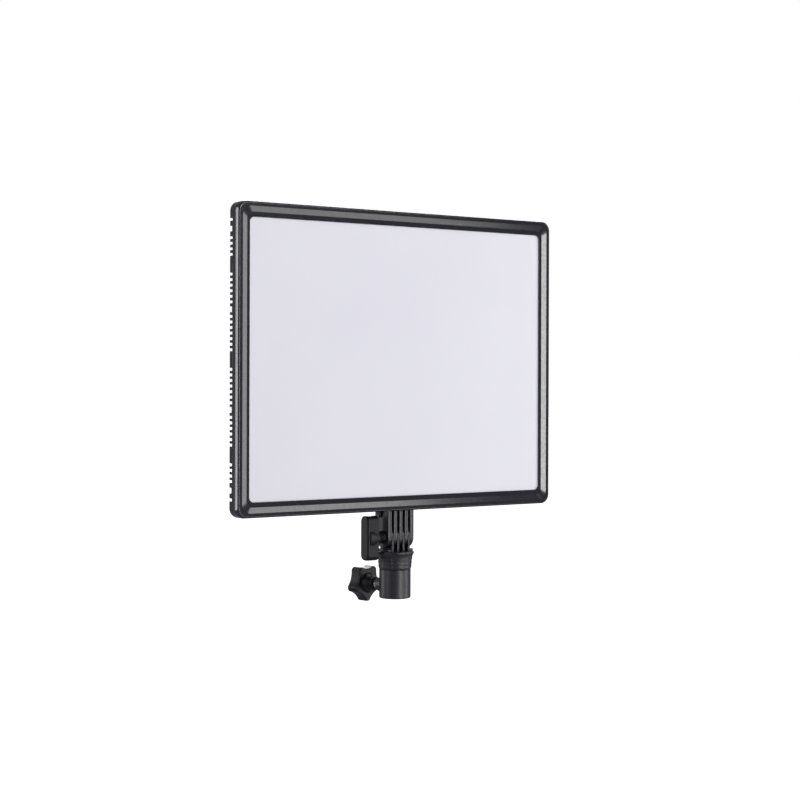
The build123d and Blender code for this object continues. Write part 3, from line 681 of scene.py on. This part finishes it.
def make_collar():
    """The flared collar with its grip pads, and the four teeth that stand between the fingers."""
    profile = [(12.0, COLLAR_FLARE[0][1]), (15.4, COLLAR_FLARE[0][1]), (15.65, COLLAR_FLARE[0][1] + 0.3)]
    count = 90
    start, end = COLLAR_FLARE[0][1] + 0.5, COLLAR_FLARE[-1][1]
    heights = [start + (end - start) * k / count for k in range(count + 1)]
    profile += [(collar_radius(z), z) for z in heights]
    profile += [(18.52, 44.5), (COLLAR_LIP_R, 44.8)]
    profile += arc((COLLAR_LIP_R - 0.5, COLLAR_TOP - 0.5), 0.5, 0, 90, 4)
    profile += [(12.0, COLLAR_TOP)]
    collar = turned("collar", profile, steps=360, shape=collar_shape)
    teeth = []
    for x in TOOTH_X:
        outline = tab_outline(TOOTH_R, COLLAR_TOP - 1)
        tooth = prism("tooth", outline, x - TOOTH_T / 2, x + TOOTH_T / 2)
        teeth.append(soften(tooth, 0.3, 40, 3))
    for side in (-1, 1):
        x0, x1 = sorted((side * 10.4, side * (COMB_HALF - 0.3)))
        shoulder = block("shoulder", (x0, -10.2, COLLAR_TOP - 1), (x1, 10.2, SHOULDER_TOP))
        teeth.append(soften(shoulder, 0.4, 40, 3))
    combine(collar, teeth, "UNION")
    cutters = [turned("hole", [(BOLT_HOLE_R, -20), (BOLT_HOLE_R, 20)], (0, 0, TILT_Z), (1, 0, 0), 48),
               turned("tenon", [(BARREL_R - 2.2, 20), (BARREL_R - 2.2, TENON_TOP + 0.1)]),
               turned("screw", [(2.05, TENON_TOP - 1), (2.05, COLLAR_TOP - 0.8)], steps=32)]
    combine(collar, cutters, "DIFFERENCE")
    shade(collar, 34)
    place_piece(collar, "collar", "receiver", ["receiver_collar"], "black_plastic", "stem_plastic")


def make_barrel():
    """The barrel: rounded mouth, tapered lock boss, bore and screw hole."""
    outer = arc((BARREL_R - 1.2, 1.2), 1.2, -90, 0, 8)
    outer += [(BARREL_R, BARREL_TOP - 0.3), (BARREL_R - 0.3, BARREL_TOP)]
    outer += [(BARREL_R - 2.3, BARREL_TOP), (BARREL_R - 2.3, TENON_TOP)]
    barrel = turned("barrel", outer, steps=160)
    boss = turned("boss", [(8.6, 11), (8.6, 11.2), (7.1, 19.4), (6.9, 19.9), (6.4, 20.3), (6.0, 20.4)],
                  (0, 0, LOCK_Z), LOCK_DIR, 80)
    combine(barrel, [boss], "UNION")
    mouth = [(BORE_R + 0.9, -1), (BORE_R + 0.9, 0.0), (BORE_R, 0.9), (BORE_R, BORE_DEPTH)]
    cutters = [turned("bore", mouth, steps=96),
               turned("recess", [(4.0, BORE_DEPTH - 1), (4.0, BORE_DEPTH + 3)], steps=40),
               turned("screw", [(2.05, BORE_DEPTH), (2.05, TENON_TOP + 1)], steps=32),
               turned("lock", [(4.5, 0), (4.5, 22)], (0, 0, LOCK_Z), LOCK_DIR, 48),
               turned("insert", [(5.25, 12.9), (5.25, 22)], (0, 0, LOCK_Z), LOCK_DIR, 48)]
    combine(barrel, cutters, "DIFFERENCE")
    shade(barrel, 34)
    place_piece(barrel, "barrel", "receiver", ["spigot_barrel"], "black_plastic", "stem_plastic")


# Knobs of the stand mount

WING_X = (-36.0, -22.5)
WING_HALF_Y = 7.0
WING_HALF_Z = 21.7


def make_wing():
    """The tilt lock's bar: soft ends and a tapered hub."""
    left, right = WING_X
    rings = []
    profile = [(left + 2.4 + a, b) for a, b in arc((0, 0), 2.4, 180, 90, 8)]
    profile += [(right - 1.3 + a, 1.1 + b) for a, b in arc((0, 0), 1.3, 90, 0, 6)]
    for x, rise in profile:
        inset = 2.4 - rise
        outline = rounded_outline(WING_HALF_Y - inset, WING_HALF_Z - inset, 5.2 - inset * 0.7, 12)
        rings.append([(x, y, TILT_Z + z) for y, z in outline])
    wing = loft("wing", rings)
    profile = [(8.6, -33.3), (9.4, -33.1), (9.65, -32.5), (9.9, -29.8), (9.7, -29.3),
               (6.1, -18.9), (5.9, -18.3), (5.9, -16.6), (5.5, -16.2)]
    hub = turned("hub", profile, (0, 0, TILT_Z), (1, 0, 0), 96)
    combine(wing, [hub], "UNION")
    combine(wing, [turned("bore", [(4.5, -32), (4.5, -10)], (0, 0, TILT_Z), (1, 0, 0), 48)], "DIFFERENCE")
    soften(wing, 0.25, 30, 2)
    shade(wing, 40)
    place_piece(wing, "wing", "wing", ["wing_knob"], "grip_plastic")


def star_edge(inset):
    """The star knob's outline, drawn in by an inset, as (a, b) points with one lobe along a."""
    hollow, hollow_r, tip_r = 34.9, 20.7, 2.5
    lobe = STAR_R - tip_r
    reach = hollow_r + tip_r
    turn = math.acos((lobe ** 2 + hollow ** 2 - reach ** 2) / (2 * lobe * hollow))
    points = []
    for k in range(5):
        base = math.radians(72 * k)
        for side in (-1, 1):
            toward = base + side * math.radians(36)
            corner = Vector((math.cos(toward - side * turn), math.sin(toward - side * turn))) * lobe
            centre = Vector((math.cos(toward), math.sin(toward))) * hollow
            meet = math.atan2(*(centre - corner).yx)
            ahead = math.atan2(*corner.yx)
            gap = (meet - ahead + math.pi) % (2 * math.pi) - math.pi
            lobe_arc = [(corner, tip_r - inset, ahead + gap * i / 6) for i in range(7)]
            middle = math.atan2(*(-centre).yx)
            back = math.atan2(*(corner - centre).yx)
            swing = (middle - back + math.pi) % (2 * math.pi) - math.pi
            hollow_arc = [(centre, hollow_r + inset, back + swing * i / 7) for i in range(1, 8)]
            run = lobe_arc + hollow_arc[:-1 if side > 0 else None]
            half = [c + Vector((math.cos(t), math.sin(t))) * r for c, r, t in run]
            points += half if side > 0 else half[::-1]
    return points


def make_star():
    """The spigot lock's five-lobed knob, with rounded rims and a stepped hub."""
    down = Vector((0, 0, -1))
    across = LOCK_DIR.cross(down)
    frame_at = Matrix((down, across, LOCK_DIR)).transposed().to_4x4()
    frame_at.translation = Vector((0, 0, LOCK_Z))
    rim = 1.3
    profile = [(rim + a, STAR_INNER + rim + b) for a, b in arc((0, 0), rim, -90, -180, 5)]
    profile += [(rim + a, STAR_OUTER - rim + b) for a, b in arc((0, 0), rim, 180, 90, 5)]
    rings = [[frame_at @ Vector((a, b, h)) for a, b in star_edge(inset)] for inset, h in profile]
    star = loft("star", rings)
    hub = [(5.8, 25.0), (6.2, 25.2), (7.0, 26.1), (7.0, 28.5), (7.2, 28.8), (7.9, 29.4), (9.3, 33.5),
           (9.8, 35.4), (10.4, STAR_INNER + 0.3)]
    combine(star, [turned("hub", hub, (0, 0, LOCK_Z), LOCK_DIR, 80)], "UNION")
    cutters = [turned("bore", [(4.05, 20), (4.05, 43.6)], (0, 0, LOCK_Z), LOCK_DIR, 48),
               turned("dish", [(8.6, STAR_OUTER - 1.1), (8.6, 60)], (0, 0, LOCK_Z), LOCK_DIR, 80)]
    combine(star, cutters, "DIFFERENCE")
    soften(star, 0.2, 40, 2)
    shade(star, 36)
    place_piece(star, "star", "star", ["star_knob"], "grip_plastic")
    low, high = STAR_OUTER - 1.05, STAR_OUTER - 0.2
    dome = [(8.5, low), (8.5, high - 0.35), (8.3, high - 0.12), (8.0, high - 0.05), (6.3, high - 0.05),
            (6.15, high - 0.3), (5.75, high - 0.3), (5.6, high - 0.05), (2.5, high)]
    cap = shade(turned("cap", dome, (0, 0, LOCK_Z), LOCK_DIR, 80), 30)
    place_piece(cap, "knob_cover", "star", ["knob_cap"], "grip_plastic")


def thread_shape(pitch, depth, start, end):
    """A turned solid's radius with a V thread cut into it between two heights."""
    def shape(angle, radius, height):
        if not start <= height <= end:
            return radius
        phase = (height / pitch - angle / (2 * math.pi)) % 1.0
        fade = min(1.0, (height - start) / pitch, (end - height) / pitch)
        return radius - depth * fade * abs(2 * phase - 1)
    return shape


def make_lock_screw():
    """The M8 screw of the spigot lock, with its thread, and a waist behind the pad."""
    start, end, pitch = 12.6, 43.5, 1.25
    count = int((end - start) / pitch * 8)
    profile = [(2.4, 10.9), (2.4, start), (3.6, start)]
    profile += [(4.0, start + 0.3 + (end - start - 0.6) * k / count) for k in range(count + 1)]
    profile += [(3.6, end)]
    thread = thread_shape(pitch, 0.55, start + 0.3, end - 0.3)
    screw = turned("screw", profile, (0, 0, LOCK_Z), LOCK_DIR, 48, thread)
    shade(screw, 50)
    place_piece(screw, "clamp_screw", "star", ["lock_screw"], "steel")


# Small parts and the rear

def softened(node, body, width, name, segments=2, angle=40):
    """A piece from a CAD node's own shape, with its sharp edges rounded."""
    source = frame["nodes"][node]
    copy = bpy.data.objects.new(name, source.data.copy())
    bpy.context.scene.collection.objects.link(copy)
    work = bmesh.new()
    work.from_mesh(copy.data)
    bmesh.ops.remove_doubles(work, verts=work.verts, dist=0.002 * MM)
    bmesh.ops.dissolve_limit(work, angle_limit=math.radians(0.3), verts=work.verts, edges=work.edges)
    work.to_mesh(copy.data)
    work.free()
    soften(copy, width, angle, segments)
    shade(copy, 36)
    place_piece(copy, name, body, [node], SLOT_OF[node])


def make_dial(node, body, name):
    """A dial with a fluted side, a rounded rim, a dished face and a pointer mark."""
    low, high = box_mm(node)
    centre = (low + high) / 2
    y0, y1 = low.y, high.y
    profile = [(3.0, y0 + 0.1), (10.6, y0), (11.0, y0 + 0.4), (11.0, y0 + 1.0)]
    profile += [(11.0, y0 + 1.0 + (y1 - y0 - 2.6) * k / 12) for k in range(1, 13)]
    profile += arc((9.8, y1 - 1.2), 1.2, 10, 90, 7)
    profile += [(8.4, y1), (8.2, y1 - 0.1), (8.1, y1 - 0.5), (7.8, y1 - 0.8), (3.0, y1 - 0.8)]

    def flutes(angle, radius, height):
        if not y0 + 0.8 < height < y1 - 0.6 or radius < 10.0:
            return radius
        fade = step(height, y0 + 1.4, 1.0) * step(y1 - 1.4 - height, 0, 1.0)
        wave = max(0.0, math.cos(36 * angle))
        return radius - 0.45 * fade * wave ** 0.7

    dial = turned(name, profile, (centre.x, 0, centre.z), (0, 1, 0), 360, flutes)
    mark = block("mark", (centre.x - 0.4, y1 - 1.1, centre.z + 3.5),
                 (centre.x + 0.4, y1 + 1, centre.z + 7.2))
    combine(dial, [mark], "DIFFERENCE")
    shade(dial, 38)
    place_piece(dial, name, body, [node], "grip_plastic")


def make_rear():
    """The rear housing, its controls and plate, and the screws, with rounded edges."""
    softened("control_housing", "head", 0.35, "housing")
    softened("battery_plate", "head", 0.3, "slide_plate")
    softened("battery_latch", "latch", 0.3, "plate_latch")
    softened("battery_contacts", "head", 0.12, "plate_blades")
    softened("power_switch_body", "head", 0.3, "switch_frame")
    softened("power_rocker", "rocker", 0.3, "switch_rocker")
    softened("dc_socket", "head", 0.25, "power_socket")
    for key in ("mode", "channel", "scene"):
        softened(f"{key}_button", f"{key}_key", 0.15, f"{key}_cap")
    for screws in ("shell", "bracket", "housing", "plate"):
        softened(f"{screws}_screws", "head", 0.12, f"{screws}_fixings")
    softened("tilt_bolt", "head", 0.3, "hinge_bolt")
    softened("tilt_washer", "tilt_clamp", 0.2, "hinge_washer", 3)
    make_dial("brightness_dial", "brightness_control", "dial_brightness")
    make_dial("colour_dial", "colour_control", "dial_colour")


make_bezel()
make_shell()
make_diffuser()
make_bracket()
make_collar()
make_barrel()
make_wing()
make_star()
make_lock_screw()
make_rear()


# Camera, lights and floor

CAMERA_TURN = math.radians(33.0)
CAMERA_BACK = 1.5264
CAMERA_SIDE = 0.0044
CAMERA_HEIGHT = 0.2147
CAMERA_LENS = 69.9
CAMERA_SHIFT = -0.0264
CAMERA_ROLL = math.radians(0.176)
TARGET = Vector((0, 0, 0.2))


def make_camera():
    """A level camera, turned to the left of the panel's front."""
    camera = bpy.data.objects.new("camera", bpy.data.cameras.new("camera"))
    bpy.context.scene.collection.objects.link(camera)
    right = Vector((math.cos(CAMERA_TURN), -math.sin(CAMERA_TURN), 0))
    ahead = Vector((math.sin(CAMERA_TURN), math.cos(CAMERA_TURN), 0))
    axes = Matrix((right, Vector((0, 0, 1)), -ahead)).transposed().to_4x4()
    place_at = CAMERA_SIDE * right - CAMERA_BACK * ahead + Vector((0, 0, CAMERA_HEIGHT))
    camera.matrix_world = Matrix.Translation(place_at) @ axes @ Matrix.Rotation(CAMERA_ROLL, 4, "Z")
    camera.data.lens = CAMERA_LENS
    camera.data.sensor_width = 36.0
    camera.data.shift_y = CAMERA_SHIFT
    camera.data.clip_start = 0.05
    bpy.context.scene.camera = camera


def softbox(name, azimuth, elevation, distance, width, height, power):
    """An area light that faces the panel; azimuth is from the front, positive to the right."""
    light = bpy.data.lights.new(name, "AREA")
    light.shape = "RECTANGLE"
    light.size = width
    light.size_y = height
    light.energy = power
    lamp = bpy.data.objects.new(name, light)
    bpy.context.scene.collection.objects.link(lamp)
    a, e = math.radians(azimuth), math.radians(elevation)
    away = Vector((math.sin(a) * math.cos(e), -math.cos(a) * math.cos(e), math.sin(e)))
    lamp.location = TARGET + away * distance
    lamp.rotation_euler = away.to_track_quat("Z", "Y").to_euler()


def make_floor():
    """A plain white floor well below the held light, bright enough to meet the background."""
    size, drop = 30.0, -0.75
    mesh = bpy.data.meshes.new("floor")
    mesh.from_pydata([(-size, -size, drop), (size, -size, drop), (size, size, drop), (-size, size, drop)],
                     [], [(0, 1, 2, 3)])
    floor = bpy.data.objects.new("floor", mesh)
    bpy.context.scene.collection.objects.link(floor)
    material, shader, coords = new_material("floor")
    cloud = noise(material, coords, 0.6, 2.0, 0.5)
    pale = ramp(material, cloud, [(0.3, (0.93, 0.93, 0.93)), (0.7, (0.96, 0.96, 0.96))])
    material.node_tree.links.new(pale, shader.inputs["Base Color"])
    material.node_tree.links.new(pale, shader.inputs["Emission Color"])
    shader.inputs["Emission Strength"].default_value = FLOOR_GLOW
    shader.inputs["Roughness"].default_value = 0.9
    mesh.materials.append(material)
    floor.visible_diffuse = False
    floor.visible_glossy = False


def make_world():
    """White behind the object, and dimmer even light all round it."""
    world = bpy.data.worlds.new("world")
    world.use_nodes = True
    tree = world.node_tree
    ambient = tree.nodes["Background"]
    ambient.inputs["Color"].default_value = AMBIENT
    ambient.inputs["Strength"].default_value = 1.0
    backdrop = tree.nodes.new("ShaderNodeBackground")
    backdrop.inputs["Color"].default_value = (1, 1, 1, 1)
    path = tree.nodes.new("ShaderNodeLightPath")
    mix = tree.nodes.new("ShaderNodeMixShader")
    tree.links.new(path.outputs["Is Camera Ray"], mix.inputs[0])
    tree.links.new(ambient.outputs[0], mix.inputs[1])
    tree.links.new(backdrop.outputs[0], mix.inputs[2])
    tree.links.new(mix.outputs[0], tree.nodes["World Output"].inputs["Surface"])
    bpy.context.scene.world = world


FLOOR_GLOW = 1.0
AMBIENT = (0.29, 0.28, 0.335, 1.0)

# Name, azimuth and elevation in degrees, then distance, width and height in metres, and watts
SOFTBOXES = [
    ("front_box", 8, 4, 2.4, 0.3, 1.6, 24),
    ("right_box", 60, 0, 2.2, 0.42, 2.0, 14),
    ("low_box", 26, -21, 2.2, 1.2, 0.35, 6),
    ("high_box", 24, 22, 2.2, 1.0, 0.35, 7),
    ("left_box", -88, 5, 2.2, 0.4, 1.5, 6),
    ("rear_left_box", -131, 6, 2.2, 0.3, 1.6, 12),
    ("rear_right_box", 148, 20, 2.2, 0.9, 1.2, 20),
    ("top_box", 170, 62, 2.0, 1.2, 0.6, 8),
]

make_camera()
make_world()
make_floor()
for settings in SOFTBOXES:
    softbox(*settings)
bpy.context.scene.view_settings.view_transform = "Standard"

dress_nodes()
